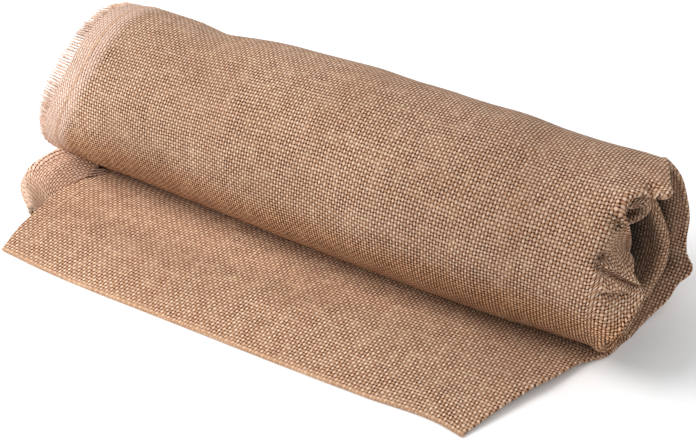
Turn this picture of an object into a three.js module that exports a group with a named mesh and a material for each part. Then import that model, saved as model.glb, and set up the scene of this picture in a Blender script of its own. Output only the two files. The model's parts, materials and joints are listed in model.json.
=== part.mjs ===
// A jute race sack, laid flat and rolled up along its length, with a loose flap at the mouth.
//
// The sack is one length of hessian folded along its right side, so it is two plies everywhere. The left
// side and the bottom are closed by chain-stitched seams set in from raw, frayed edges. The mouth is a
// woven selvedge. From the mouth the plies lie flat on the floor, then wind up the back of the roll,
// over the top, down the front and inwards to the sewn bottom edge at the core.
//
// Millimetres. +X runs along the roll from the frayed side to the folded side, -Y is the flap side and
// +Z is up. The origin is the centre of the footprint, on the floor.

import * as THREE from 'three';

// ---- driving dimensions ----
const rollRadius = 78.5; // outside of the outermost turn
const footprintDepth = 255; // mouth edge to the back of the roll
const halfLength = 287; // half of the overall length along X
const plyThickness = 1.2;
const plyGap = 0.4; // between the two plies
const jointGap = 0.3; // between neighbouring pieces of the same ply
const hingeY = -52; // where the loose flap bends up off the floor
const hingeGap = 1; // clear distance on each side of the bend line
const selvedgeWidth = 6; // woven edge at the mouth
const foldWidth = 6; // rounded fold on the right side
const rawMargin = 15; // cloth outside a seam
const seamWidth = 3; // one line of chain stitches
const arcStep = 10; // degrees between sections on the outer turn
const coreStep = 15; // degrees between sections near the core

const stack = 2 * plyThickness + plyGap;
const halfStack = stack / 2;
const axisY = footprintDepth / 2 - rollRadius;
const mouthY = -footprintDepth / 2;
const degree = Math.PI / 180;

// ---- the winding: where the middle of the stack lies ----
// A place along the cloth is an angle of winding: 0 where the cloth leaves the floor, 90 at the back,
// 180 on top and 270 at the front. The flat part counts back from 0 as if it were wound as well.
// Each row is angle, radius, and how far the centre has moved towards the back and upwards.
const windings = [
  [0, rollRadius - halfStack, 0, 0],
  [90, rollRadius - halfStack, 0, 0],
  [180, rollRadius - halfStack, 0, 0],
  [270, rollRadius - halfStack, 0, 0],
  [300, rollRadius - halfStack, 0, 0],
  [320, 77.3, 0, 0],
  [332, 78.4, 0, 0],
  [342, 76.9, 0, 0],
  [350, 74.7, 0, 0],
  [360, 73, 0, 0],
  [450, 60, 0, 0],
  [540, 55, 0, 0],
  [630, 42, 1, 2],
  [675, 32, 3, 10],
  [720, 20, 6, 24],
  [765, 15, 8, 30],
  [810, 13.5, 8, 31],
  [900, 12.5, 8, 31],
  [990, 12, 8, 31],
  [1050, 11.7, 8, 31],
];

// Each row is angle, then where the cloth ends on the left and on the right.
const sideEdges = [
  [windingOf(mouthY), -242, 203],
  [windingOf(hingeY), -247, 236],
  [-31, -252, 258],
  [20, -255, 276],
  [60, -255, halfLength],
  [90, -254, 280],
  [140, -254, 264],
  [180, -256, 278],
  [205, -258, 264],
  [230, -264, 263],
  [260, -274, 281],
  [290, -283, 274],
  [320, -285, 262],
  [345, -272, 264],
  [370, -260, 267],
  [415, -258, 273],
  [450, -258, 263],
  [480, -258, 244],
  [540, -258, 231],
  [600, -258, 217],
  [690, -258, 218],
  [750, -258, 248],
  [810, -258, 260],
  [870, -258, 259],
  [930, -258, 252],
  [990, -258, 249],
  [1050, -258, 251],
];

// The lower ply reaches further out to the left beside the roll, as a soft lobe.
const lobeEdges = [
  [windingOf(mouthY), -242],
  [-110, -249],
  [-95, -254],
  [-80, -276],
  [-65, -286],
  [-45, -halfLength],
  [-25, -284],
  [-5, -276],
  [20, -261],
  [38, -255],
];

const lastAngle = windings.at(-1)[0];

function windingOf(y) {
  return (y - axisY) / rollRadius / degree;
}

// A smooth curve through the rows of a table, read at an angle.
function reader(rows) {
  const width = rows[0].length - 1;
  const curve = new THREE.CubicInterpolant(
    rows.map((row) => row[0]),
    rows.flatMap((row) => row.slice(1)),
    width,
  );
  return (angle) => Array.from(curve.evaluate(THREE.MathUtils.clamp(angle, rows[0][0], rows.at(-1)[0])));
}

const readWinding = reader(windings);
const readSides = reader(sideEdges);
const readLobe = reader(lobeEdges);

function middle(angle) {
  if (angle <= 0) return new THREE.Vector2(axisY + angle * degree * rollRadius, halfStack);
  const [radius, back, up] = readWinding(angle);
  const turn = angle * degree;
  return new THREE.Vector2(
    axisY + back + radius * Math.sin(turn),
    rollRadius + up - radius * Math.cos(turn),
  );
}

// The direction from the middle of the stack towards the outside of the roll.
function outward(angle) {
  if (angle <= 0) return new THREE.Vector2(0, -1);
  const small = 0.5;
  const along = middle(angle + small).sub(middle(Math.max(0, angle - small))).normalize();
  return new THREE.Vector2(along.y, -along.x);
}

// Angles at which a piece gets a section: close together on the arcs and far apart on the flat.
function sectionAngles(from, to) {
  const angles = [from];
  const flatSteps = [windingOf(-100), windingOf(-75), windingOf(-40), windingOf(-22), windingOf(-4), -25, -12];
  angles.push(...flatSteps.filter((angle) => angle > from + 2 && angle < Math.min(to, 0) - 2));
  let angle = 0;
  while (angle < to - 2) {
    if (angle > from + 2) angles.push(angle);
    angle += angle < 690 ? arcStep : coreStep;
  }
  angles.push(to);
  return angles;
}

// ---- solids ----
// sectionAt gives a section's corners at one angle as [x, distance outwards] pairs, in order round the
// section. The sections are joined into one closed solid.
function wind(from, to, sectionAt) {
  const positions = [];
  const faces = [];
  const angles = sectionAngles(from, to);
  let corners = 0;
  for (const angle of angles) {
    const centre = middle(angle);
    const out = outward(angle);
    const section = sectionAt(angle);
    corners = section.length;
    for (const [x, distance] of section) {
      positions.push(x, centre.x + out.x * distance, centre.y + out.y * distance);
    }
  }
  for (let ring = 0; ring < angles.length - 1; ring += 1) {
    for (let corner = 0; corner < corners; corner += 1) {
      const here = ring * corners + corner;
      const next = ring * corners + ((corner + 1) % corners);
      faces.push(here, next, here + corners, next, next + corners, here + corners);
    }
  }
  const last = (angles.length - 1) * corners;
  for (let corner = 1; corner < corners - 1; corner += 1) {
    faces.push(0, corner + 1, corner);
    faces.push(last, last + corner, last + corner + 1);
  }
  const geometry = new THREE.BufferGeometry();
  geometry.setAttribute('position', new THREE.Float32BufferAttribute(positions, 3));
  geometry.setIndex(faces);
  geometry.computeVertexNormals();
  return geometry;
}

// A flat-sided strip between two edges and two distances outwards from the middle of the stack.
function strip(from, to, leftAt, rightAt, inner, outer) {
  return wind(from, to, (angle) => [
    [leftAt(angle), inner],
    [rightAt(angle), inner],
    [rightAt(angle), outer],
    [leftAt(angle), outer],
  ]);
}

// ---- the plies, from the inside of the roll to the outside ----
const frontPly = { inner: -halfStack, outer: -plyGap / 2, tips: (angle) => readSides(angle)[0] };
const backPly = { inner: plyGap / 2, outer: halfStack, tips: lobeTips };

function lobeTips(angle) {
  const lobeEnd = lobeEdges.at(-1)[0];
  return angle < lobeEnd ? Math.max(readLobe(angle)[0], -halfLength) : readSides(angle)[0];
}

const rightEdge = (angle) => Math.min(readSides(angle)[1], halfLength);
const seamLeft = (angle) => readSides(angle)[0] + rawMargin;
const seamRight = (angle) => seamLeft(angle) + seamWidth;
const foldStart = (angle) => rightEdge(angle) - foldWidth;

const marginRight = (angle) => seamLeft(angle) - jointGap;
const panelLeft = (angle) => seamRight(angle) + jointGap;
const panelRight = (angle) => foldStart(angle) - jointGap;

// ---- materials ----
const jute = { color: 0xc09a76, roughness: 0.95, metalness: 0 };
const paleJute = { color: 0xcdaa8c, roughness: 0.95, metalness: 0 };
const twine = { color: 0xc9a97f, roughness: 0.85, metalness: 0 };

const group = new THREE.Group();

function add(name, geometry, finish) {
  const mesh = new THREE.Mesh(geometry, new THREE.MeshStandardMaterial(finish));
  mesh.name = name;
  group.add(mesh);
}

// ---- stretches of the winding ----
const gapAngle = jointGap / rollRadius / degree;
const mouth = windingOf(mouthY);
const selvedgeEnd = windingOf(mouthY + selvedgeWidth);
const flapEnd = windingOf(hingeY - hingeGap);
const rollStart = windingOf(hingeY + hingeGap);
const turnEnd = 340; // where the outer turn hands over to the inner turns
const coreRadius = windings.at(-1)[1];
const bottomSeamStart = lastAngle - (rawMargin + seamWidth) / coreRadius / degree;
const bottomSeamEnd = lastAngle - rawMargin / coreRadius / degree;
const coreGap = jointGap / coreRadius / degree;
const stretches = {
  flap: [selvedgeEnd + gapAngle, flapEnd],
  rolled: [rollStart, bottomSeamStart - coreGap],
};

// The two plies: one panel each on the flap, on the outer turn and on the inner turns.
function addPanel(name, ply) {
  const stretch = (from, to) => strip(from, to, panelLeft, panelRight, ply.inner, ply.outer);
  add(`${name}_flap`, stretch(...stretches.flap), jute);
  add(`${name}_outer_turn`, stretch(rollStart, turnEnd), jute);
  add(`${name}_inner_turns`, stretch(turnEnd + gapAngle, stretches.rolled[1]), jute);
}

// The frayed cloth outside the side seam.
function addRawMargin(name, ply) {
  for (const [place, [from, to]] of Object.entries(stretches)) {
    add(`${name}_${place}`, strip(from, to, ply.tips, marginRight, ply.inner, ply.outer), paleJute);
  }
}

// Two threads make the chain stitch: the needle thread on the front ply, the looper thread on the back.
function addSideSeam() {
  for (const [place, [from, to]] of Object.entries(stretches)) {
    const needle = strip(from, to, seamLeft, seamRight, -halfStack, -jointGap / 2);
    const looper = strip(from, to, seamLeft, seamRight, jointGap / 2, halfStack);
    add(`side_seam_needle_thread_${place}`, needle, twine);
    add(`side_seam_looper_thread_${place}`, looper, twine);
  }
}

// The right side, where the cloth turns round from one ply to the other.
function addSideFold() {
  const shoulder = 0.6 * halfStack;
  const section = (angle) => [
    [foldStart(angle), -halfStack],
    [rightEdge(angle) - shoulder, -halfStack],
    [rightEdge(angle), -halfStack + shoulder],
    [rightEdge(angle), halfStack - shoulder],
    [rightEdge(angle) - shoulder, halfStack],
    [foldStart(angle), halfStack],
  ];
  for (const [place, [from, to]] of Object.entries(stretches)) {
    add(`side_fold_${place}`, wind(from, to, section), jute);
  }
}

// The woven edges of the mouth, one on each ply.
function addMouthSelvedge(name, ply) {
  add(name, strip(mouth, selvedgeEnd, ply.tips, rightEdge, ply.inner, ply.outer), paleJute);
}

// The bottom of the sack, at the core of the roll: a sewn line and the raw cloth past it.
function addBottomSeam() {
  const across = (inner, outer) => strip(
    bottomSeamStart, bottomSeamEnd - coreGap, frontPly.tips, rightEdge, inner, outer,
  );
  add('bottom_seam_needle_thread', across(-halfStack, -jointGap / 2), twine);
  add('bottom_seam_looper_thread', across(jointGap / 2, halfStack), twine);
}

function addBottomMargin(name, ply) {
  add(name, strip(bottomSeamEnd, lastAngle, frontPly.tips, rightEdge, ply.inner, ply.outer), paleJute);
}

addPanel('front_panel', frontPly);
addPanel('back_panel', backPly);
addRawMargin('front_raw_margin', frontPly);
addRawMargin('back_raw_margin', backPly);
addSideSeam();
addSideFold();
addMouthSelvedge('front_mouth_selvedge', frontPly);
addMouthSelvedge('back_mouth_selvedge', backPly);
addBottomSeam();
addBottomMargin('front_bottom_margin', frontPly);
addBottomMargin('back_bottom_margin', backPly);

export default group;
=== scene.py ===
"""A jute race sack, laid flat in two plies and rolled up, with the mouth lying in front as a flap.

The cloth is one smooth surface. A place along it is an angle of winding, in degrees: below 0 it lies
flat on the floor, 0 to 360 is the outer turn (90 is the back, 180 the top, 270 the front), and past
360 come the inner turns and the core. A place across it is x. Lengths are in metres.
"""

import itertools
import json
import math

import bpy
import numpy as np
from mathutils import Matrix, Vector

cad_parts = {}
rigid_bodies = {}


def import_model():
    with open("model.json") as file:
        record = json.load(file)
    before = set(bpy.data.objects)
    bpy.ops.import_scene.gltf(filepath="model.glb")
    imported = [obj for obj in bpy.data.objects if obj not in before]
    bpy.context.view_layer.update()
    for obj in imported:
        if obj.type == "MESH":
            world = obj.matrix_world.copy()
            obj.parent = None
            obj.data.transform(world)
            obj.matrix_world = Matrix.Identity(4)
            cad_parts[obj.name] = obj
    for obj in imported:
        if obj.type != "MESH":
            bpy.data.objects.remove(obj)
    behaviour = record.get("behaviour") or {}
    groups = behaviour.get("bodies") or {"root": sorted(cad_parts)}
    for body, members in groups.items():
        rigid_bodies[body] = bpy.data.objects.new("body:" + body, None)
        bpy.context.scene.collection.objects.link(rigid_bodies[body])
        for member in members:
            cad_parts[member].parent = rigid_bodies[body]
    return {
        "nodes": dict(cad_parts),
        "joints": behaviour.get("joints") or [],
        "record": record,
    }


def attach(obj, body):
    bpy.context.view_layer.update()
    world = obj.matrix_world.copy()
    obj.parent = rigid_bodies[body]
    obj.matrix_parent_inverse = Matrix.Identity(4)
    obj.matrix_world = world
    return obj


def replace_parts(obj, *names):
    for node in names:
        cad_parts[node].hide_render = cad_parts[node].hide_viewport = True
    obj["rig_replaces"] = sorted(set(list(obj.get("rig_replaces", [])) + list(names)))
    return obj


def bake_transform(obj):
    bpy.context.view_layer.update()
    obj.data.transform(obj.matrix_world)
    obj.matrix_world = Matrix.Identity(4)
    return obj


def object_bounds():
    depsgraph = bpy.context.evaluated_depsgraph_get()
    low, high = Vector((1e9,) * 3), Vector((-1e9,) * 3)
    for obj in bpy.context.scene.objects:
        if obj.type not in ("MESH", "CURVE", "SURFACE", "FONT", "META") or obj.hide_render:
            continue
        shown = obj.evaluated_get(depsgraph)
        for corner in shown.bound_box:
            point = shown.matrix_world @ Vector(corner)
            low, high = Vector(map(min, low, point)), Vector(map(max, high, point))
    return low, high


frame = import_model()
cad_box = [list(corner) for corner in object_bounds()]

MM = 0.001
scene = bpy.context.scene

# ---- sizes from the frame ----
low, high = (np.array(corner) for corner in cad_box)
ROLL_RADIUS = (high[2] - low[2]) / 2
AXIS_Y = high[1] - ROLL_RADIUS
MOUTH_Y = low[1]
joint = frame["joints"][0]
HINGE_Y = joint["pos_m"][1]

# ---- the cloth ----
PLY = 1.2 * MM
STACK = 2.8 * MM
PLY_OFFSET = STACK / 2 - PLY / 2
WARP_PITCH = 2.84 * MM  # threads that run along the winding
WEFT_PITCH = 3.17 * MM  # threads that run along the roll
FINER_ON_ROLL = 0.10  # the share by which the weave is closer on the roll than on the flap
SEAM_INSET = 16.5 * MM
STITCH = 7 * MM
STITCH_WIDTH = 0.95 * MM  # how far a loop of the chain reaches to each side
STITCH_REACH = 0.62 * STITCH  # half of how far a loop reaches along the seam, past the next stitch
CLEARANCE = 0.3 * MM  # between the cloth and the floor


def winding_of(y):
    """The angle of winding of a place on the floor."""
    return math.degrees((y - AXIS_Y) / ROLL_RADIUS)


MOUTH = winding_of(MOUTH_Y)
HINGE = winding_of(HINGE_Y)


def curve(rows, at):
    """A smooth curve through (place, value) rows, read at an array of places."""
    x = np.array([row[0] for row in rows], float)
    y = np.array([row[1] for row in rows], float)
    slope = np.gradient(y, x)
    at = np.clip(at, x[0], x[-1])
    i = np.clip(np.searchsorted(x, at, side="right") - 1, 0, len(x) - 2)
    h = x[i + 1] - x[i]
    t = (at - x[i]) / h
    return (
        y[i] * (1 + 2 * t) * (1 - t) ** 2
        + slope[i] * h * t * (1 - t) ** 2
        + y[i + 1] * t * t * (3 - 2 * t)
        - slope[i + 1] * h * t * t * (1 - t)
    )


def smoothstep(a, b, value):
    """A smooth rise from 0 at a to 1 at b."""
    t = np.clip((value - a) / (b - a), 0, 1)
    return t * t * (3 - 2 * t)


def bell(centre, width, value):
    """A smooth bump, 1 at its centre."""
    return np.exp(-(((value - centre) / width) ** 2))


def ripples(p, q, wavelength, seed, waves=9):
    """Gentle seeded noise, about -1 to 1, over two coordinates in metres."""
    rng = np.random.default_rng(seed)
    total = np.zeros(np.broadcast(p, q).shape)
    for _ in range(waves):
        direction = rng.uniform(0, 2 * math.pi)
        length = wavelength * rng.uniform(0.6, 1.7)
        phase = rng.uniform(0, 2 * math.pi)
        along = p * math.cos(direction) + q * math.sin(direction)
        total += np.sin(2 * math.pi * along / length + phase)
    return total / math.sqrt(waves) / 1.4


# ---- the winding: radius of the middle of the stack, and how far its centre moves back and up ----
WINDINGS = (
    (0, 77.1, 0, 0),
    (90, 77.1, 0, 0),
    (180, 77.1, 0, 0),
    (270, 77.1, 0, 0),
    (300, 77.1, 0, 0),
    (321, 77.2, 0, 0),
    (334, 78.6, 0, 0),
    (342, 76.9, 0, 0),
    (350, 74.6, 0, 0),
    (360, 73, 0, 0),
    (450, 60, 0, 0),
    (540, 55, 0, 0),
    (630, 42, 1, 2),
    (675, 32, 3, 10),
    (700, 26, 4, 18),
    (720, 19.5, 6, 25),
    (750, 14.8, 8, 30),
    (780, 13, 8.5, 31),
    (840, 12.4, 8.5, 31),
    (900, 12.2, 8.5, 31),
    (975, 12, 8.5, 31),
    (1050, 11.6, 8.5, 31),
)
CORE_END = WINDINGS[-1][0]
CORE_OVAL = 0.06  # the core loop is pressed flat by this share


def winding_table(column):
    """One column of the winding by angle, in metres."""
    return [(row[0], row[column] * MM) for row in WINDINGS]


def middle(angle):
    """The middle of the stack at an array of angles, as (y, z)."""
    turn = np.radians(angle)
    radius = curve(winding_table(1), angle)
    radius = radius * (1 - CORE_OVAL * smoothstep(690, 760, angle) * np.cos(2 * turn))
    y = AXIS_Y + curve(winding_table(2), angle) + radius * np.sin(turn)
    z = ROLL_RADIUS + curve(winding_table(3), angle) - radius * np.cos(turn)
    flat = angle <= 0
    y = np.where(flat, AXIS_Y + turn * ROLL_RADIUS, y)
    z = np.where(flat, STACK / 2, z)
    return np.stack([y, z], -1)


def outward(angle):
    """The direction from the middle of the stack to the outside of the roll, as (y, z)."""
    small = 0.5
    along = middle(angle + small) - middle(np.maximum(angle - small, MOUTH))
    along /= np.linalg.norm(along, axis=-1, keepdims=True)
    return np.stack([along[..., 1], -along[..., 0]], -1)


# ---- the sides of the cloth, by angle, in millimetres ----
LEFT_EDGE = (
    (MOUTH, -243), (-110, -249), (-90, -252.5), (HINGE, -254), (-58, -253.5), (-39, -249), (-25, -241),
    (-12, -240), (0, -246), (20, -250), (120, -247), (180, -247), (205, -247), (221, -248.5),
    (232, -250.5), (243, -255), (257, -262), (266, -267.5), (276, -274), (288, -282), (301, -287.5),
    (314, -290), (328, -286), (345, -270), (360, -255), (375, -252), (CORE_END, -252),
)
# How far the raw yarn ends stick out past the left edge.
FRAY = (
    (45, 8), (180, 13), (205, 15.5), (243, 16.5), (266, 15), (276, 12.5), (300, 8), (345, 6),
    (CORE_END, 5),
)
# On the frayed side of the roll, a strip this wide turns in, round this radius and by this much.
RAW_WIDTH, RAW_RADIUS, RAW_TURN = 27 * MM, 100 * MM, math.radians(12)
# Beside the place where the flap meets the roll, the back ply goes on past the front one, and curls up,
# over and down again into a soft lobe: angle, where it starts to curl, the radius that it curls to, and
# where it ends.
LOBE = (
    (-89.5, -255, 2.6, -256), (-88, -256, 3.2, -272), (-86.3, -258, 4.2, -285), (-84, -262, 5.1, -296),
    (-81, -267, 6.3, -308), (-77, -273, 7.9, -323), (-72, -277.5, 9.2, -335), (-66, -279, 10.2, -341),
    (-58, -279, 11, -345), (-48, -277.5, 11.7, -347), (-36, -275, 12, -346), (-20, -272, 12, -338),
    (-5, -268, 11.5, -326), (10, -263, 11, -308), (25, -258, 10.5, -280), (38, -252, 10, -252),
)
LOBE_TURN = math.radians(225)
RIGHT_EDGE = (
    (MOUTH, 203), (-85, 224.5), (-64, 237), (-51, 243.5), (-42, 248), (-35, 254), (-28, 261), (-20, 265),
    (-12, 266.5), (-3, 270), (6, 271.5), (21, 277), (32, 283), (45, 287), (53, 292.5), (57, 292),
    (63, 286), (71, 283), (87, 281), (105, 275), (119, 271), (140, 263), (155, 267), (166, 273),
    (175, 278), (182, 281), (190, 283.5), (195, 280), (198, 269.5), (201, 264), (205, 261), (209, 259),
    (212, 258), (214, 259), (216, 263.5), (218, 271.5), (220, 281), (222, 291), (225, 302), (229, 307),
    (233, 306), (238, 301), (243, 292.5), (248, 288), (253, 289.5), (259, 297), (265, 298), (270, 294),
    (275, 290), (280, 284), (287, 277), (295, 271), (303, 266), (320, 262), (345, 264), (360, 266),
    (377, 267), (392, 270), (414, 274), (432, 272), (451, 263), (465, 256), (479, 243), (500, 238),
    (522, 235), (560, 226), (600, 216), (690, 218), (720, 232), (750, 251), (780, 259), (810, 262),
    (840, 261), (870, 259), (900, 256), (930, 252), (960, 249), (990, 248), (1020, 249), (CORE_END, 251),
)
# Where the right margin starts to curl inwards, the radius that it curls to and how far round it goes.
CURL = (
    (MOUTH, 320, 9, 0), (120, 300, 8, 0), (140, 280, 8, 0), (155, 264, 8, 15), (166, 265, 8, 30),
    (175, 267, 8, 34), (182, 269, 8, 30), (190, 270, 8, 24), (197, 263, 8, 20), (201, 257.5, 7, 14),
    (206, 255, 7, 14), (210, 254, 7, 24), (214, 253, 7, 50), (218, 251.5, 7, 72), (222, 250, 7, 82),
    (227, 249, 7, 86), (234, 248, 7.5, 82), (240, 248, 8, 73), (246, 249, 8.5, 60), (252, 252, 9, 54),
    (260, 256.5, 9.5, 55), (268, 259, 10, 51), (281, 262, 12, 47), (290, 262, 13, 32), (300, 261, 14, 14),
    (320, 260, 14, 8), (340, 262, 12, 5), (360, 275, 12, 0), (378, 300, 12, 0), (CORE_END, 320, 12, 0),
)
# A pit in the right margin: its angle, and how far past the start of the curl it lies.
PIT_ANGLE, PIT_DEPTH = 240.5, 11 * MM
# The radius of the rounded fold between the plies.
FOLD_RADIUS = (
    (MOUTH, 0.9), (-40, 1.0), (60, 1.3), (150, 2.0), (200, 2.6), (300, 3.0), (360, 4.0), (400, 5.0),
    (470, 5.0), (520, 4.0), (760, 4.0), (CORE_END, 3.8),
)
# The flap lies in a low hump, and comes down to the floor where the roll bears on it: angle, height.
HUMP = (
    (MOUTH, 0), (-116, 0.9), (-102, 2.5), (-88, 4.2), (-77, 4.8), (-64, 4.4), (-52, 3.2), (-40, 1.8),
    (-28, 0.7), (-15, 0.1), (-8, 0),
)

# How things change along the roll, at x: its radius, the shift of its axis, and the bow of the mouth.
SWELL = (
    (-270, 80), (-232, 78.5), (-149, 77.0), (-39, 80.8), (61, 81.3), (152, 80.0), (247, 77), (290, 76.8),
)
WANDER = (
    (-270, 9), (-232, 7.0), (-149, 3.3), (-39, -0.3), (61, -3.5), (152, -4.0), (247, -0.6), (290, 0),
)
BOW = ((-243, 2.5), (-200, -0.5), (-55, 0), (60, 2), (122, 4), (183, 7), (205, 3))


def side(table, at, column=1):
    """One column of a table of millimetres, in metres, read at an angle or at x in millimetres."""
    return curve([(row[0], row[column]) for row in table], at) * MM


def bend_in(x, n, start, radius, turn):
    """Bends cloth past start, at distance n outwards, inwards round an arc and then straight on."""
    past = np.maximum(x - start, 0)
    angle = np.minimum(past / radius, turn)
    straight = np.maximum(past - radius * turn, 0)
    new_x = np.minimum(x, start) + (radius + n) * np.sin(angle) + straight * np.cos(angle)
    new_n = (radius + n) * np.cos(angle) - radius - straight * np.sin(angle)
    return new_x, new_n


def place(x, n, angle, ply):
    """Puts points of the cloth in space. n is the distance outwards, ply -1 in front and 1 behind."""
    start = side(CURL, angle)
    turn = np.radians(np.maximum(side(CURL, angle, 3) / MM, 0.01))
    n = n + margin_folds(angle, x - start) + lip_folds(x, angle) + corner_pinch(x, angle)
    new_x, new_n = bend_in(x, n, start, side(CURL, angle, 2), turn)

    # The frayed side turns in on the outer turn.
    raw_start = -side(LEFT_EDGE, angle) - RAW_WIDTH
    raw_turn = RAW_TURN * smoothstep(70, 130, angle) * (1 - smoothstep(282, 325, angle)) + 1e-4
    left_x, left_n = bend_in(-new_x, new_n, raw_start, RAW_RADIUS, raw_turn)
    new_x, new_n = np.where(x < 0, -left_x, new_x), np.where(x < 0, left_n, new_n)

    lobe_start = side(LOBE, angle)
    lobe_x, lobe_n = bend_in(-x, n + lobe_ridge(x, angle), -lobe_start, side(LOBE, angle, 2), LOBE_TURN)
    in_lobe = (ply > 0) & (x < lobe_start) & (angle > LOBE[0][0]) & (angle < LOBE[-1][0])
    new_x = np.where(in_lobe, -lobe_x, new_x)
    new_n = np.where(in_lobe, lobe_n, new_n)

    centre = middle(angle)
    out = outward(angle)
    wound = smoothstep(-5, 40, angle)
    new_n = new_n + wrinkles(x, angle)
    y = centre[..., 0] + out[..., 0] * new_n
    z = centre[..., 1] + out[..., 1] * new_n + hump(x, angle, ply)
    swell = np.where(angle > 0, 1 + (side(SWELL, x / MM) / ROLL_RADIUS - 1) * wound, 1)
    y = AXIS_Y + (y - AXIS_Y) * swell + side(WANDER, x / MM) * wound
    y = y + side(BOW, x / MM) * (1 - smoothstep(MOUTH, HINGE - 10, angle))
    return np.stack([new_x, y, z * swell], -1)


def lobe_turned(x, angle):
    """How far round the lobe's curl a place is, in degrees."""
    return np.degrees(np.maximum(side(LOBE, angle) - x, 0) / side(LOBE, angle, 2))


def lobe_ridge(x, angle):
    """A soft ridge along the top of the lobe, between two hollows."""
    turned = lobe_turned(x, angle)
    ridge = 4.0 * bell(160, 14, turned) - 4.0 * bell(202, 18, turned) - 1.2 * bell(126, 13, turned)
    return ridge * MM * smoothstep(-84, -62, angle)


def hump(x, angle, ply):
    """How far the flap rises off the floor. The lobe beside it stays down."""
    shift = np.degrees(side(WANDER, x / MM) / ROLL_RADIUS)
    stays_down = (ply > 0) * smoothstep(-240 * MM, -262 * MM, x)
    return side(HUMP, angle - shift) * (1 - stays_down) * (angle < 0)


def margin_folds(angle, depth):
    """Creases in the right margin, where it is drawn in to a smaller ring than it was woven to."""
    on = smoothstep(212, 226, angle) * (1 - smoothstep(310, 335, angle))
    on = on * smoothstep(1 * MM, 9 * MM, depth)
    inward = np.clip(depth / (40 * MM), 0, 1.2)
    slanting = angle - (241 + 17 * inward)
    level = angle - (258.5 + 5 * inward)
    folds = 3.6 * bell(-3.5, 3.0, slanting) - 6.5 * bell(1.4, 1.8, slanting)
    outer_part = 1 - smoothstep(0.5, 0.8, inward)
    folds += (2.4 * bell(-3.0, 2.4, level) - 5.0 * bell(0.8, 1.4, level)) * outer_part
    folds += 3.0 * bell(283, 10, angle) - 1.5 * bell(300, 6, angle)
    pit = -12.0 * bell(PIT_ANGLE, 3.0, angle) * bell(PIT_DEPTH, 5.5 * MM, depth) * (depth > 0)
    return (folds * on + pit) * MM


def lip_folds(x, angle):
    """The puckered lip at the top of the right end: a raised rim, and a bump beside a small pit."""
    rim = 5.5 * bell(204, 14, angle) * smoothstep(212 * MM, 258 * MM, x)
    pit = -6.5 * bell(191, 3.4, angle) * bell(270.5 * MM, 4.2 * MM, x)
    bump = 2.5 * bell(190, 6, angle) * bell(281 * MM, 7 * MM, x)
    return (rim + pit + bump) * MM


def corner_pinch(x, angle):
    """A sharp crease that points the back edge of the outer turn at the right end."""
    reach = smoothstep(215 * MM, 290 * MM, x)
    return 7 * MM * reach * bell(56, 5.5, angle) - 2.5 * MM * reach * bell(80, 12, angle)


def wrinkles(x, angle):
    """Slow waves and dents over the whole cloth. On the floor they only lift it."""
    along = np.radians(angle) * ROLL_RADIUS
    on_roll = smoothstep(25, 70, angle) * (1 - smoothstep(300, 335, angle)) + smoothstep(400, 440, angle)
    waves = 1.1 * MM * ripples(x, along, 110 * MM, 3) + 0.5 * MM * ripples(x, along, 42 * MM, 4)
    on_flap = (1 - smoothstep(-50, -25, angle)) * (0.35 + 0.65 * smoothstep(MOUTH, MOUTH + 25, angle))
    lift = 1.1 * MM * (1 + ripples(x, along, 150 * MM, 5))
    lift = lift + 0.35 * MM * (1 + ripples(x, along, 45 * MM, 6))
    return waves * on_roll - lift * on_flap


# ---- the cloth's grid ----
def section_step(angle):
    """The distance between two sections of the cloth, shorter where it has creases or small bends."""
    if 218 < angle < 275:
        return 1.7 * MM
    if -100 < angle < -60 or 175 < angle < 300:
        return 2.6 * MM
    return 4.2 * MM if angle < 560 else 2.8 * MM


def section_angles():
    angles = [MOUTH]
    while angles[-1] < CORE_END:
        at = angles[-1]
        radius = ROLL_RADIUS if at < 330 else float(curve(winding_table(1), np.array(at)))
        angles.append(at + math.degrees(section_step(at) / radius))
    angles[-1] = CORE_END
    return np.array(angles)


def across():
    """Places across one ply, 0 at the left edge and 1 at the right, closer together near both ends."""
    return np.concatenate([
        np.linspace(0, 0.14, 42)[:-1],
        np.linspace(0.14, 0.84, 74)[:-1],
        np.linspace(0.84, 1, 50)[:-1],
    ])


ANGLES = section_angles()
centre_line = middle(ANGLES)
LENGTHS = np.concatenate([[0], np.cumsum(np.linalg.norm(np.diff(centre_line, axis=0), axis=1))])
FOLD_STEPS = 9
SLACK_FROM, SLACK_TO = 185, 345  # the angles between which the right margin is folded
SLACK_SHARE = 0.8  # how much of the extra length round the folds goes into the weave
LOBE_EDGE = -256 * MM
LOBE_FINER = 0.3  # the share by which the warp is closer past that edge, in the lobe


def finer(angle):
    """The weave is closer on the roll. It changes under the roll, out of sight."""
    return 1 + FINER_ON_ROLL * smoothstep(-32, -5, angle)


WOVEN_LENGTHS = np.concatenate([[0], np.cumsum(np.diff(LENGTHS) * finer(ANGLES[1:]))])


def ply_offset(angle):
    """How far the middle of a ply is from the middle of the stack. The plies lie closer at the mouth."""
    return PLY_OFFSET - 0.3 * MM * (1 - smoothstep(MOUTH, MOUTH + 20, angle))


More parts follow.
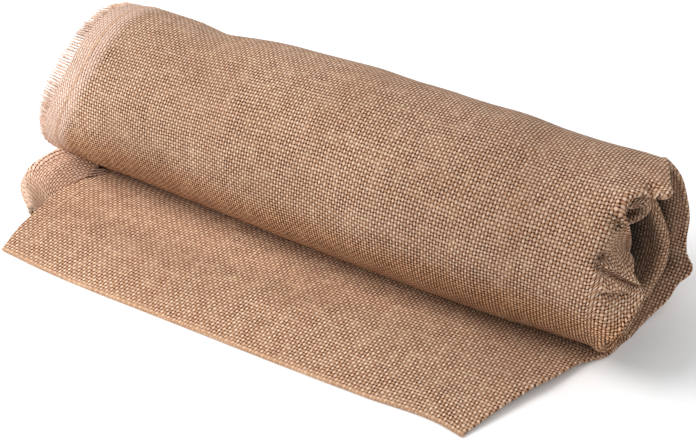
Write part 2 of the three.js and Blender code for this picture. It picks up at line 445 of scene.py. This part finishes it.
def section_line(angle):
    """The middle of the doubled cloth at one angle, from the front ply's raw edge round the fold to the
    back ply's: x, n, the distance across the cloth from x = 0, and -1 or 1 for the ply."""
    left = float(side(LEFT_EDGE, angle))
    right = float(side(RIGHT_EDGE, angle))
    radius = float(side(FOLD_RADIUS, angle))
    offset = float(ply_offset(angle))
    reach = 3.2 * radius
    straight = left + (right - reach - left) * across()
    half = np.full(len(straight), offset)
    t = np.linspace(0, 1, 7)[:-1]
    swelling_x = right - reach + (reach - radius) * t
    swelling = offset + (radius - offset) * t * t * (3 - 2 * t)
    turn = np.linspace(0, math.pi / 2, FOLD_STEPS)
    x = np.concatenate([straight, swelling_x, right - radius + radius * np.sin(turn)])
    n = np.concatenate([half, swelling, radius * np.cos(turn)])
    distance = left + np.concatenate([[0], np.cumsum(np.hypot(np.diff(x), np.diff(n)))])
    in_lobe = LOBE[0][0] < angle < LOBE[-1][0]
    reach_out = left - float(side(LOBE, angle, 3)) if in_lobe else 0
    back = x - max(reach_out, 0) * smoothstep(left + 60 * MM, left, x)
    back_distance = distance + (back - x)
    return (
        np.concatenate([x, back[-2::-1]]),
        np.concatenate([-n, n[-2::-1]]),
        np.concatenate([distance, back_distance[-2::-1]]),
        np.concatenate([-np.ones(len(x)), np.ones(len(x) - 1)]),
    )


# ---- how the cloth looks from place to place ----
MOST_SHADE_OPENING = 0.6  # how far open the weave gets low on the front of the roll, as painted shade in its gaps
LIGHTEST = 1.42  # the highest tone of the painted light


def inner_shade(material, angle, ply):
    """The faces inside the roll are darker away from its ends, where little light gets in."""
    depth = np.minimum(side(RIGHT_EDGE, angle) - material, material - side(LEFT_EDGE, angle))
    inside = smoothstep(20, 45, angle) * (ply < 0) if angle < 355 else np.ones(len(material))
    return 0.8 * inside * smoothstep(5 * MM, 30 * MM, depth) * (1 - 0.25 * smoothstep(690, 740, angle))


def finish_and_painted_light_of(material, angle, length, ply):
    """Four values for the material: how closed the weave is (below 0 it is more open, as painted shade),
    how pale (from wear, and as a painted highlight on the lobe), how bare the yarn is, and its tone of
    painted light and shade."""
    # The frayed band on the roll, the woven edge at the mouth, and painted shade low on the front, where
    # the weave is opened to show more dark gap.
    edge = float(side(LEFT_EDGE, angle))
    band = smoothstep(edge + 35 * MM, edge + 19 * MM, material)
    band = band * smoothstep(100, 150, angle) * (1 - smoothstep(320, 345, angle))
    selvedge = np.full(len(material), 1 - smoothstep(2.0 * MM, 5 * MM, length))
    low_front = smoothstep(262, 295, angle) * (1 - smoothstep(345, 360, angle))
    closed_and_painted_shade = selvedge - MOST_SHADE_OPENING * low_front * (1 - band) * (1 - selvedge)

    # Painted light: the flap is lighter to the left and close to the roll, and the lobe is lightest along
    # its ridge, a painted highlight.
    on_flap = 1 - smoothstep(-40, -10, angle)
    near_roll = smoothstep(-78, -45, angle)
    flap_left = 1 - smoothstep(0, 240 * MM, material)
    lobe = on_flap * smoothstep(-250 * MM, -262 * MM, material)
    ridge = lobe * bell(158, 15, lobe_turned(material, angle))
    flap_painted_light = (0.21 + 0.46 * near_roll) * flap_left + 0.08 * near_roll
    flap_painted_light = flap_painted_light + 0.34 * lobe + 0.2 * ridge

    # Painted light and shade: the roll is lighter low on the left, and darker on the right and in the
    # pit.
    lower_left = smoothstep(225, 255, angle) * (1 - smoothstep(-235 * MM, -150 * MM, material))
    right_body = smoothstep(-60 * MM, 200 * MM, material) * (1 - smoothstep(245 * MM, 268 * MM, material))
    pit = bell(PIT_ANGLE, 2.8, angle) * bell(side(CURL, angle) + PIT_DEPTH, 4.5 * MM, material)
    roll_painted_light = 0.12 * lower_left - right_body * (0.1 + 0.12 * low_front) - 0.55 * pit

    # The tone is painted light and shade, with painted shade inside the roll.
    painted_light_tone = np.minimum(0.97 + on_flap * flap_painted_light + (1 - on_flap) * roll_painted_light, LIGHTEST)
    painted_light_tone = painted_light_tone * (1 - inner_shade(material, angle, ply))
    return np.stack([closed_and_painted_shade, band + 0.4 * lobe + 0.5 * ridge, selvedge, painted_light_tone], -1)


def margin_slack():
    """How much further a warp yarn travels round the folds of the right margin than the cloth beside them
    does: the places across, and a row of lengths for each section."""
    x = np.arange(236, 304, 2) * MM
    points = place(*np.broadcast_arrays(x, 0.0, ANGLES[:, None], -1))
    steps = np.linalg.norm(np.diff(points, axis=0), axis=-1)
    extra = (steps - steps[:, :1]) * (ANGLES[1:, None] > SLACK_FROM) * (ANGLES[1:, None] < SLACK_TO)
    return x, np.concatenate([np.zeros((1, len(x))), np.cumsum(SLACK_SHARE * extra, axis=0)])


def cloth_grid():
    """Every section of the cloth: points, weave coordinates and finish with its painted light, on its two
    faces.
    """
    points, weave, finish_and_painted_light, widths = [], [], [], []
    slack_x, slack = margin_slack()
    for angle, length, woven, slack_row in zip(ANGLES, LENGTHS, WOVEN_LENGTHS, slack):
        x, n, material, ply = section_line(angle)
        dx, dn = np.gradient(x), np.gradient(n)
        size = np.hypot(dx, dn)
        across_x, across_n = -dn / size, dx / size
        rows = []
        for offset in (-PLY / 2, PLY / 2):
            rows.append(place(x + across_x * offset, n + across_n * offset, np.full(len(x), angle), ply))
        points.append(np.concatenate([rows[0], rows[1][::-1]]))
        u = material * finer(angle) - LOBE_FINER * np.maximum(LOBE_EDGE - material, 0)
        v = woven + np.interp(material, slack_x, slack_row)
        weave.append(np.stack([np.concatenate([u, u[::-1]]), np.concatenate([v, v[::-1]])], -1))
        shares = finish_and_painted_light_of(material, angle, length, ply)
        finish_and_painted_light.append(np.concatenate([shares, shares[::-1]]))
        widths.append(2 * material.max() - material[0] - material[-1])
    return np.array(points), np.array(weave), np.array(finish_and_painted_light), np.array(widths)


POINTS, WEAVE, FINISH_AND_PAINTED_LIGHT, WIDTHS = cloth_grid()
POINTS[..., 2] = np.maximum(POINTS[..., 2], CLEARANCE)
LOOP = POINTS.shape[1]
HALF = LOOP // 2


def grid_normals(points):
    """Smooth normals of the grid, so that the pieces cut from it show no border."""
    along = np.gradient(points, axis=0)
    round_loop = np.roll(points, -1, axis=1) - np.roll(points, 1, axis=1)
    normal = np.cross(round_loop, along)
    return normal / np.maximum(np.linalg.norm(normal, axis=-1, keepdims=True), 1e-12)


NORMALS = grid_normals(POINTS)


def new_mesh(name, vertices, faces, material, uvs=None, finish_and_painted_light=None, normals=None):
    """A smooth object. uvs and finish with its painted light are by vertex, and normals by face corner.
    """
    mesh = bpy.data.meshes.new(name)
    mesh.from_pydata([tuple(v) for v in vertices], [], faces)
    mesh.polygons.foreach_set("use_smooth", np.ones(len(mesh.polygons), bool))
    if uvs is not None:
        layer = mesh.uv_layers.new(name="weave")
        corner = np.zeros(len(mesh.loops), np.int32)
        mesh.loops.foreach_get("vertex_index", corner)
        layer.data.foreach_set("uv", np.asarray(uvs, np.float32)[corner].ravel())
    if finish_and_painted_light is not None:
        layer = mesh.color_attributes.new("finish_and_painted_light", "FLOAT_COLOR", "POINT")
        layer.data.foreach_set("color", np.asarray(finish_and_painted_light, np.float32).ravel())
    if normals is not None:
        mesh.normals_split_custom_set([tuple(n) for n in normals])
    mesh.materials.append(material)
    mesh.update()
    piece = bpy.data.objects.new(name, mesh)
    scene.collection.objects.link(piece)
    return piece


def cloth_piece(name, first, last, material):
    """The cloth between two sections, as one closed solid."""
    rows = last - first + 1
    vertices = POINTS[first : last + 1].reshape(-1, 3)
    uvs = WEAVE[first : last + 1].reshape(-1, 2)
    finish_and_painted_light = FINISH_AND_PAINTED_LIGHT[first : last + 1].reshape(-1, 4)
    flat_normals = NORMALS[first : last + 1].reshape(-1, 3)
    faces = []
    for row in range(rows - 1):
        base = row * LOOP
        for k in range(LOOP):
            nxt = (k + 1) % LOOP
            faces.append((base + k, base + nxt, base + LOOP + nxt, base + LOOP + k))
    sides = len(faces)
    top = (rows - 1) * LOOP
    for k in range(HALF - 1):
        a, b = k, k + 1
        c, d = LOOP - 2 - k, LOOP - 1 - k
        faces.append((a, d, c, b))
        faces.append((top + a, top + b, top + c, top + d))
    corner_normals = [flat_normals[v] for face in faces[:sides] for v in face]
    for face in faces[sides:]:
        p = [vertices[v] for v in face]
        normal = np.cross(p[1] - p[0], p[3] - p[0])
        normal = normal / max(np.linalg.norm(normal), 1e-12)
        corner_normals += [normal] * 4
    return new_mesh(name, vertices, faces, material, uvs, finish_and_painted_light, corner_normals)


# ---- node helpers ----
class Nodes:
    """Short calls that add and link shader nodes in one tree."""

    def __init__(self, tree):
        self.tree = tree

    def new(self, kind, **settings):
        node = self.tree.nodes.new(kind)
        for key, value in settings.items():
            setattr(node, key, value)
        return node

    def join(self, value, socket):
        if isinstance(value, bpy.types.NodeSocket):
            self.tree.links.new(value, socket)
        else:
            socket.default_value = value

    def math(self, operation, a, b=0.0, c=0.0):
        node = self.new("ShaderNodeMath", operation=operation)
        for value, socket in zip((a, b, c), node.inputs):
            self.join(value, socket)
        return node.outputs[0]

    def vector(self, x, y, z=0.0):
        node = self.new("ShaderNodeCombineXYZ")
        for value, socket in zip((x, y, z), node.inputs):
            self.join(value, socket)
        return node.outputs[0]

    def noise(self, vector, scale, detail):
        node = self.new("ShaderNodeTexNoise", noise_dimensions="3D")
        self.join(vector, node.inputs["Vector"])
        node.inputs["Scale"].default_value = scale
        node.inputs["Detail"].default_value = detail
        return node.outputs[0]

    def white(self, value, seed):
        node = self.new("ShaderNodeTexWhiteNoise", noise_dimensions="1D")
        self.join(self.math("ADD", value, seed), node.inputs["W"])
        return node.outputs["Value"]

    def range(self, value, a, b, low=0.0, high=1.0, smooth=True):
        node = self.new("ShaderNodeMapRange", interpolation_type="SMOOTHSTEP" if smooth else "LINEAR")
        self.join(value, node.inputs["Value"])
        for key, number in (("From Min", a), ("From Max", b), ("To Min", low), ("To Max", high)):
            self.join(number, node.inputs[key])
        return node.outputs["Result"]

    def mix(self, factor, a, b, blend="MIX"):
        node = self.new("ShaderNodeMix", data_type="RGBA", blend_type=blend)
        self.join(factor, node.inputs["Factor"])
        self.join(a, node.inputs[6])
        self.join(b, node.inputs[7])
        return node.outputs[2]


def linear(red, green, blue):
    """An sRGB colour, 0 to 255, as the linear colour that shaders use."""
    channels = []
    for value in (red, green, blue):
        value /= 255
        channels.append(value / 12.92 if value <= 0.04045 else ((value + 0.055) / 1.055) ** 2.4)
    return (*channels, 1.0)


def jute_material(name):
    """Open plain weave: warp and weft yarns that cross over and under, with gaps, slubs and fibres."""
    material = bpy.data.materials.new(name)
    material.use_nodes = True
    tree = material.node_tree
    tree.nodes.clear()
    n = Nodes(tree)
    uv = n.new("ShaderNodeUVMap", uv_map="weave").outputs["UV"]
    split = n.new("ShaderNodeSeparateXYZ")
    n.join(uv, split.inputs[0])
    place_u, place_v = split.outputs[0], split.outputs[1]
    # The finish carries painted light and shade: the tone, and the weave opened low on the front.
    finish_and_painted_light = n.new("ShaderNodeAttribute", attribute_name="finish_and_painted_light")
    shares = n.new("ShaderNodeSeparateColor")
    n.join(finish_and_painted_light.outputs["Color"], shares.inputs[0])
    painted_light_tone = finish_and_painted_light.outputs["Alpha"]
    closed_and_painted_shade, pale_wear_and_highlight, bare = shares.outputs

    # Threads wander a little from a true grid.
    drift_u = n.math("SUBTRACT", n.noise(uv, 16, 3), 0.5)
    drift_v = n.math("SUBTRACT", n.noise(n.vector(place_v, place_u, 0.7), 16, 3), 0.5)
    u = n.math("MULTIPLY_ADD", drift_u, WANDERING, n.math("DIVIDE", place_u, WARP_PITCH))
    v = n.math("MULTIPLY_ADD", drift_v, WANDERING, n.math("DIVIDE", place_v, WEFT_PITCH))
    column, row = n.math("FLOOR", u), n.math("FLOOR", v)
    across_u = n.math("SUBTRACT", n.math("FRACT", u), 0.5)
    across_v = n.math("SUBTRACT", n.math("FRACT", v), 0.5)

    # Each yarn has its own thickness and shade, and thick and thin places along it. Its section is half
    # an ellipse, and it rises and falls over the yarns that it crosses.
    def yarn(index, offset, along, across_index, seed, least):
        thickness = n.white(index, seed)
        where = n.vector(n.math("MULTIPLY", index, 7.31), n.math("MULTIPLY", along, 0.16), seed)
        slub = n.noise(where, 1.0, 2)
        half = n.math("MULTIPLY_ADD", slub, 0.24, least)
        half = n.math("MULTIPLY_ADD", thickness, 0.08, half)
        half = n.math("MULTIPLY_ADD", closed_and_painted_shade, 0.14, half)
        ratio = n.math("DIVIDE", offset, half)
        round_top = n.math("SUBTRACT", 1.0, n.math("MULTIPLY", ratio, ratio))
        profile = n.math("SQRT", n.math("MAXIMUM", round_top, 0.0))
        wave = n.math("SINE", n.math("MULTIPLY", n.math("ADD", along, across_index), math.pi))
        return profile, wave, thickness, slub

    warp, warp_wave, warp_shade, warp_slub = yarn(column, across_u, v, column, 3.0, THIN_WARP)
    weft, weft_wave, weft_shade, weft_slub = yarn(row, across_v, u, row, 11.0, THIN_WEFT)
    warp_top = n.math("MULTIPLY_ADD", warp, YARN_HEIGHT, n.math("MULTIPLY", warp_wave, WAVE_HEIGHT))
    warp_top = n.math("MULTIPLY_ADD", pale_wear_and_highlight, 0.4, warp_top)  # the frayed side has lost weft, so warp shows; on the lobe this is a painted highlight
    weft_top = n.math("MULTIPLY_ADD", weft, YARN_HEIGHT, n.math("MULTIPLY", weft_wave, -WAVE_HEIGHT))
    warp_top = n.math("ADD", warp_top, n.range(warp, 0.0, 0.05, -BESIDE_YARN, 0.0))
    weft_top = n.math("ADD", weft_top, n.range(weft, 0.0, 0.05, -BESIDE_YARN, 0.0))
    height = n.math("MAXIMUM", warp_top, weft_top)
    warp_over = n.math("GREATER_THAN", warp_top, weft_top)

    # Twisted fibres run along each yarn.
    twist_warp = n.math("MULTIPLY_ADD", across_u, FIBRES, n.math("MULTIPLY", v, TWIST))
    twist_weft = n.math("MULTIPLY_ADD", across_v, FIBRES, n.math("MULTIPLY", u, TWIST))
    fibre_warp = n.noise(n.vector(twist_warp, v, column), 1.6, 3)
    fibre_weft = n.noise(n.vector(u, twist_weft, row), 1.6, 3)
    fibre = n.mix(warp_over, fibre_weft, fibre_warp)
    shade = n.mix(warp_over, weft_shade, warp_shade)
    slub = n.mix(warp_over, weft_slub, warp_slub)

    # Colour: pale warp crowns and duller weft crowns, with painted shade: browner where a yarn dips,
    # nearly black in the gaps.
    crown = n.range(height, 0.25, 1.0)
    top = n.mix(warp_over, WEFT_CROWN, WARP_CROWN)
    body = n.mix(crown, DIP_SHADE, top)
    body = n.mix(n.range(shade, 0.0, 1.0, 0.0, 0.34, False), body, BROWN_YARN)
    body = n.mix(n.range(slub, 0.4, 0.75, 0.0, 0.35), body, PALE_SLUB)
    body = n.mix(n.range(fibre, 0.35, 0.75, 0.0, 0.40), body, DARK_FIBRE)
    patches = n.noise(n.vector(place_u, place_v, 4.0), 9, 3)
    body = n.mix(n.range(patches, 0.35, 0.7, 0.0, 0.22), body, BROWN_PATCH)
    # Paler on the worn frayed band, and a painted highlight on the lobe.
    body = n.mix(n.math("MULTIPLY", pale_wear_and_highlight, 0.36), body, WORN_PALE_AND_HIGHLIGHT)
    body = n.mix(n.math("MULTIPLY", bare, 0.5), body, WOVEN_EDGE)
    # Painted shade in the gaps, which take more room where the weave is opened low on the front.
    gap_shade = n.range(height, -0.45, n.math("MULTIPLY_ADD", closed_and_painted_shade, -0.46, 0.25))
    gap_shade = n.math("MAXIMUM", gap_shade, n.math("MULTIPLY", bare, 0.8))
    colour = n.mix(gap_shade, GAP_SHADE, body)

    # The tone of painted light and shade, a little redder as painted warm shade where the weave is opened
    # low on the front.
    warmth = n.range(closed_and_painted_shade, -MOST_SHADE_OPENING, 0.0, 1.0, -0.2)
    red = n.math("MULTIPLY_ADD", warmth, 0.13, painted_light_tone)
    blue = n.math("MULTIPLY_ADD", warmth, -0.16, painted_light_tone)
    colour = n.mix(1.0, colour, n.vector(red, painted_light_tone, blue), "MULTIPLY")

    shader = n.new("ShaderNodeBsdfPrincipled")
    n.join(colour, shader.inputs["Base Color"])
    n.join(n.range(crown, 0.0, 1.0, 0.98, 0.82), shader.inputs["Roughness"])
    shader.inputs["Specular IOR Level"].default_value = 0.15
    shader.inputs["Sheen Weight"].default_value = 0.05
    shader.inputs["Sheen Roughness"].default_value = 0.6
    shader.inputs["Sheen Tint"].default_value = (1.0, 0.88, 0.76, 1.0)
    relief = n.math("MULTIPLY_ADD", fibre, 0.12, n.math("MAXIMUM", height, -0.6))
    bump = n.new("ShaderNodeBump")
    bump.inputs["Strength"].default_value = 1.0
    bump.inputs["Distance"].default_value = 0.8 * MM
    n.join(relief, bump.inputs["Height"])
    n.join(bump.outputs[0], shader.inputs["Normal"])
    out = n.new("ShaderNodeOutputMaterial")
    n.join(shader.outputs[0], out.inputs[0])
    return material


def yarn_material(name, dark, light):
    """Loose jute: streaky fibres that run along the yarn."""
    material = bpy.data.materials.new(name)
    material.use_nodes = True
    tree = material.node_tree
    tree.nodes.clear()
    n = Nodes(tree)
    where = n.new("ShaderNodeTexCoord").outputs["Object"]
    streak = n.noise(where, 900, 3)
    patches = n.noise(where, 120, 2)
    colour = n.mix(n.range(streak, 0.3, 0.7), dark, light)
    colour = n.mix(n.range(patches, 0.4, 0.7, 0.0, 0.35), colour, DULL_YARN)
    shader = n.new("ShaderNodeBsdfPrincipled")
    n.join(colour, shader.inputs["Base Color"])
    shader.inputs["Roughness"].default_value = 0.88
    shader.inputs["Specular IOR Level"].default_value = 0.15
    shader.inputs["Sheen Weight"].default_value = 0.12
    bump = n.new("ShaderNodeBump")
    bump.inputs["Distance"].default_value = 0.1 * MM
    n.join(streak, bump.inputs["Height"])
    n.join(bump.outputs[0], shader.inputs["Normal"])
    out = n.new("ShaderNodeOutputMaterial")
    n.join(shader.outputs[0], out.inputs[0])
    return material


# The weave, in pitches: how far yarns stray, half the width of the thinnest ones, how many fibres lie
# across a pitch and how far they twist in one.
WANDERING = 1.6
THIN_WARP, THIN_WEFT = 0.22, 0.17
FIBRES, TWIST = 9.0, 1.7
# The share of the weave's height that comes from a yarn's round top and from its wave, and the drop
# from its side to the gap.
YARN_HEIGHT, WAVE_HEIGHT = 0.55, 0.45
BESIDE_YARN = 1.2
# Colours of the jute, from the tops of the yarns down to the painted shade in the dips and gaps, and then
# of what varies along them.
WARP_CROWN = linear(251, 215, 187)
WEFT_CROWN = linear(212, 165, 129)
DIP_SHADE = linear(98, 48, 18)
GAP_SHADE = linear(14, 3, 1)
BROWN_YARN = linear(146, 96, 60)
PALE_SLUB = linear(238, 206, 172)
DARK_FIBRE = linear(112, 76, 48)
BROWN_PATCH = linear(140, 94, 62)
# Pale of the worn band, also the painted highlight on the lobe.
WORN_PALE_AND_HIGHLIGHT = linear(232, 200, 186)
WOVEN_EDGE = linear(196, 156, 122)
DULL_YARN = linear(150, 104, 70)
HESSIAN = jute_material("hessian")
FRAYED_YARN = yarn_material("frayed_yarn", linear(168, 124, 98), linear(240, 210, 190))
TWINE = yarn_material("seam_twine", linear(196, 154, 120), linear(238, 204, 174))
FUZZ = yarn_material("loose_fibre", linear(176, 134, 96), linear(238, 206, 170))

# ---- the cloth in pieces, cut at these angles: the first two span the hinge ----
CUTS = [MOUTH, HINGE + 16, 0, 60, 115, 170, 215, 255, 300, 345, 440, 560, CORE_END]


def nearest_section(angle):
    """The number of the section of the cloth closest to an angle."""
    return int(np.argmin(np.abs(ANGLES - angle)))


cloth = []
for first, last in zip(CUTS[:-1], CUTS[1:]):
    number = len(cloth) + 1
    a, b = nearest_section(first), nearest_section(last)
    piece = cloth_piece(f"cloth_{number:02d}", a, b, HESSIAN)
    cloth.append(piece)

for piece in cloth[:2]:
    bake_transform(piece)
for piece in cloth[2:]:
    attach(piece, "roll")


# ---- yarns and threads ----
def face_place(x, angle, lift, ply):
    """Points just off a face of the cloth: ply 1 is the roll's outer face, -1 the top of the flap."""
    n = ply * (ply_offset(angle) + PLY / 2 + lift)
    return place(x, n, angle, np.broadcast_to(ply, np.shape(x)))


def strands(name, paths, radii, sides, material):
    """Closed tubes, with paths by strand, step and xyz, and radii by strand and step."""
    count, steps, _ = paths.shape
    along = np.gradient(paths, axis=1)
    along /= np.maximum(np.linalg.norm(along, axis=-1, keepdims=True), 1e-12)
    least = np.eye(3)[np.argmin(np.abs(along.mean(1)), axis=-1)][:, None, :]
    first = np.cross(along, least)
    first /= np.maximum(np.linalg.norm(first, axis=-1, keepdims=True), 1e-12)
    second = np.cross(along, first)
    turn = np.arange(sides) / sides * 2 * math.pi
    ring = first[:, :, None] * np.cos(turn)[:, None] + second[:, :, None] * np.sin(turn)[:, None]
    vertices = (paths[:, :, None] + ring * radii[:, :, None, None]).reshape(-1, 3)
    vertices[:, 2] = np.maximum(vertices[:, 2], 0.1 * MM)
    faces = []
    for strand in range(count):
        base = strand * steps * sides
        for step in range(steps - 1):
            for k in range(sides):
                a, b = base + step * sides + k, base + step * sides + (k + 1) % sides
                faces.append((a, b, b + sides, a + sides))
        faces.append(tuple(base + k for k in reversed(range(sides))))
        faces.append(tuple(base + (steps - 1) * sides + k for k in range(sides)))
    return new_mesh(name, vertices, faces, material)


def fringe(name, first, last, seed):
    """Ends of weft yarns that stick out of the raw side, between two angles, on both plies."""
    rng = np.random.default_rng(seed)
    start, end = np.interp((first, last), ANGLES, LENGTHS)
    at = np.interp(np.arange(start, end, WEFT_PITCH / (1 + FINER_ON_ROLL)), LENGTHS, ANGLES)
    t = np.linspace(0, 1, 7)
    rooted = 1.5 * MM  # the part that is inside the cloth
    paths, radii = [], []
    for ply, angle, thick in itertools.product((-1, 1), at, (True, False)):
        length = float(side(FRAY, angle)) * rng.uniform(*((0.86, 1.06) if thick else (0.4, 1.15)))
        lean = rng.normal(0, 0.45 if thick else 2.5)
        droop = rng.normal(-0.3, 0.4) * MM
        jitter = rng.uniform(*((-0.15, 0.15) if thick else (-0.6, 0.6)))
        x = float(side(LEFT_EDGE, angle)) + rooted - (length + rooted) * t
        angles = angle + jitter + lean * t * t
        n = ply * ply_offset(angles) + droop * t * t
        paths.append(place(x, n, angles, np.full(len(t), ply)))
        radius = rng.uniform(*((0.62, 0.82) if thick else (0.12, 0.2))) * MM
        radii.append(radius * (1 - 0.35 * t**2))
    return strands(name, np.array(paths), np.array(radii), 5, FRAYED_YARN)


# Each loose yarn at the flap's raw edge: how far outside the edge and how high it lies, and the angles
# between which it runs.
LOOSE_YARNS = ((0.2, 1.0, -50, -19), (2.2, 2.6, -47, -21), (4.4, 3.6, -45, -22), (6.4, 2.2, -43, -24))


def edge_yarns(name, seed):
    """Warp yarns that have come loose along the flap's raw edge, where it goes in under the roll."""
    rng = np.random.default_rng(seed)
    t = np.linspace(0, 1, 25)
    paths, radii = [], []
    for away, high, first, last in LOOSE_YARNS:
        angles = first + (last - first) * t
        sway = 1.1 * np.sin(2 * math.pi * (t * rng.uniform(0.7, 1.4) + rng.uniform(0, 1)))
        x = side(LEFT_EDGE, angles) - (away + sway) * MM
        lift = (high * np.sin(math.pi * t) ** 0.6 + 0.5) * MM
        paths.append(face_place(x, angles, lift, -1))
        radii.append(np.full(len(t), rng.uniform(0.55, 0.75) * MM))
    return strands(name, np.array(paths), np.array(radii), 6, FRAYED_YARN)


def stitch_side(t):
    """How far to the side one loop of a chain stitch is, -1 to 1, along its way round from 0 to 1."""
    return np.sin(2 * math.pi * t) * np.sqrt(np.sin(math.pi * t))


def chain_stitches(name, first, last, ply):
    """Overlapping loops along the side seam, on one face of the cloth."""
    start, end = np.interp((first, last), ANGLES, LENGTHS)
    t = np.linspace(0, 1, 13)
    loop_across = STITCH_WIDTH * stitch_side(t)
    loop_along = STITCH_REACH * (1 - np.cos(2 * math.pi * t))
    paths = []
    for at in np.arange(start, end, STITCH):
        angles = np.interp(at + loop_along, LENGTHS, ANGLES)
        x = side(LEFT_EDGE, angles) + SEAM_INSET + loop_across
        lift = -0.05 * MM + 0.25 * MM * np.sin(math.pi * t)
        paths.append(face_place(x, angles, lift, ply))
    paths = np.array(paths)
    return strands(name, paths, np.full(paths.shape[:2], 0.3 * MM), 5, TWINE)


def bottom_stitches(name, ply):
    """The same chain along the bottom seam, at the core."""
    angle = float(np.interp(LENGTHS[-1] - SEAM_INSET, LENGTHS, ANGLES))
    t = np.linspace(0, 1, 13)
    left, right = float(side(LEFT_EDGE, angle)) + SEAM_INSET, float(side(RIGHT_EDGE, angle)) - 8 * MM
    inner_radius = 9 * MM
    paths = []
    for at in np.arange(left, right - STITCH * 1.3, STITCH):
        x = at + STITCH_REACH * (1 - np.cos(2 * math.pi * t))
        turn = math.degrees(STITCH_WIDTH / inner_radius) * stitch_side(t)
        paths.append(face_place(x, angle + turn, 0.25 * MM + 0.35 * MM * np.sin(math.pi * t), ply))
    paths = np.array(paths)
    return strands(name, paths, np.full(paths.shape[:2], 0.42 * MM), 5, TWINE)


def fuzz(name, first, last, ply, count, seed):
    """Fine fibres that stand off the cloth."""
    rng = np.random.default_rng(seed)
    t = np.linspace(0, 1, 6)
    paths, radii = [], []
    for _ in range(count):
        angle = rng.uniform(first, last)
        left = float(side(LEFT_EDGE, angle)) + 3 * MM
        right = min(float(side(CURL, angle)) - 2 * MM, float(side(RIGHT_EDGE, angle)) - 3 * MM)
        x0 = rng.uniform(left, right)
        length = rng.uniform(4, 11) * MM
        heading = rng.uniform(0, 2 * math.pi)
        direction = heading + rng.normal(0, 1.2) * t
        step = length / (len(t) - 1)
        x = x0 + np.concatenate([[0], np.cumsum(np.cos(direction[1:]) * step)])
        along = np.concatenate([[0], np.cumsum(np.sin(direction[1:]) * step)])
        lift = rng.uniform(0.5, 2.6) * MM * np.sin(math.pi * t * rng.uniform(0.5, 0.95))
        angles = angle + np.degrees(along / ROLL_RADIUS)
        paths.append(face_place(x, angles, lift, ply))
        radii.append(rng.uniform(0.07, 0.13) * MM * (1 - 0.6 * t))
    return strands(name, np.array(paths), np.array(radii), 3, FUZZ)


def on_roll(piece, slot, *nodes):
    """Fixes a piece to the roll and names the CAD nodes that it stands for. The slot is not used."""
    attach(piece, "roll")
    if nodes:
        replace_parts(piece, *nodes)


def on_flap(piece, slot, *nodes):
    """Puts a piece on the flap in world space and names the CAD nodes that it stands for. The slot is not
    used.
    """
    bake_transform(piece)
    if nodes:
        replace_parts(piece, *nodes)


SEAM_END = CORE_END - 100
on_roll(
    fringe("frayed_edge_outer_turn", 45, 345, 21),
    "raw_margin", "front_raw_margin_rolled", "back_raw_margin_rolled",
)
on_roll(
    fringe("frayed_edge_inner_turns", 346, CORE_END - 5, 22),
    "raw_margin", "front_bottom_margin", "back_bottom_margin",
)
on_roll(
    chain_stitches("side_seam_chain_rolled", 3, SEAM_END, 1),
    "seam_twine", "side_seam_looper_thread_rolled",
)
on_roll(
    chain_stitches("side_seam_needle_line_rolled", 3, SEAM_END, -1),
    "seam_twine", "side_seam_needle_thread_rolled",
)
on_roll(bottom_stitches("bottom_seam_chain", 1), "seam_twine", "bottom_seam_looper_thread")
on_roll(bottom_stitches("bottom_seam_needle_line", -1), "seam_twine", "bottom_seam_needle_thread")
on_flap(edge_yarns("loose_edge_yarns_flap", 41), "raw_margin")
on_flap(
    chain_stitches("side_seam_needle_line_flap", MOUTH + 3, -45, -1),
    "seam_twine", "side_seam_needle_thread_flap", "side_seam_looper_thread_flap",
)
on_roll(fuzz("loose_fibres_roll", 100, 330, 1, 420, 31), "raw_margin")
on_flap(fuzz("loose_fibres_flap", MOUTH + 6, -36, -1, 260, 32), "raw_margin")

# The cloth stands for all the other nodes of each body.
stood_for = {name for piece in bpy.data.objects for name in piece.get("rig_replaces", [])}
bodies = frame["record"]["behaviour"]["bodies"]
for piece, body in ((cloth[0], "flap"), (cloth[2], "roll")):
    names = [name for name in bodies[body] if name in frame["nodes"] and name not in stood_for]
    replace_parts(piece, *names)

# ---- floor, light and camera ----
bpy.ops.mesh.primitive_plane_add(size=12, location=(0, 0, 0))
floor = bpy.context.object
floor.name = "floor"
floor_material = bpy.data.materials.new("floor")
floor_material.use_nodes = True
floor_shader = floor_material.node_tree.nodes["Principled BSDF"]
floor_shader.inputs["Base Color"].default_value = (0.95, 0.95, 0.95, 1)
floor_shader.inputs["Roughness"].default_value = 0.9
floor.data.materials.append(floor_material)

light_data = bpy.data.lights.new("key_light", "AREA")
light_data.shape = "DISK"
light_data.size = 1.1
light_data.energy = 22
light = bpy.data.objects.new("key_light", light_data)
light.location = (-0.8, -0.7, 1.3)
light_aim = Vector((-0.05, 0, 0.05)) - light.location
light.rotation_euler = light_aim.to_track_quat("-Z", "Y").to_euler()
scene.collection.objects.link(light)

world = bpy.data.worlds.new("studio")
world.use_nodes = True
sky = world.node_tree.nodes["Background"]
sky.inputs["Color"].default_value = (1, 1, 1, 1)
sky.inputs["Strength"].default_value = 0.82
scene.world = world
scene.view_settings.view_transform = "Standard"

CAMERA_AZIMUTH, CAMERA_ELEVATION = math.radians(30.6), math.radians(35.5)
CAMERA_DISTANCE = 1.147
camera_target = Vector((-7 * MM, AXIS_Y + 20.5 * MM, 0))
backwards = Vector((
    math.sin(CAMERA_AZIMUTH) * math.cos(CAMERA_ELEVATION),
    -math.cos(CAMERA_AZIMUTH) * math.cos(CAMERA_ELEVATION),
    math.sin(CAMERA_ELEVATION),
))
camera_data = bpy.data.cameras.new("camera")
camera_data.lens = 65.6
camera_data.sensor_width = 36
camera = bpy.data.objects.new("camera", camera_data)
camera.location = camera_target + backwards * CAMERA_DISTANCE
camera.rotation_euler = backwards.to_track_quat("Z", "Y").to_euler()
scene.collection.objects.link(camera)
scene.camera = camera
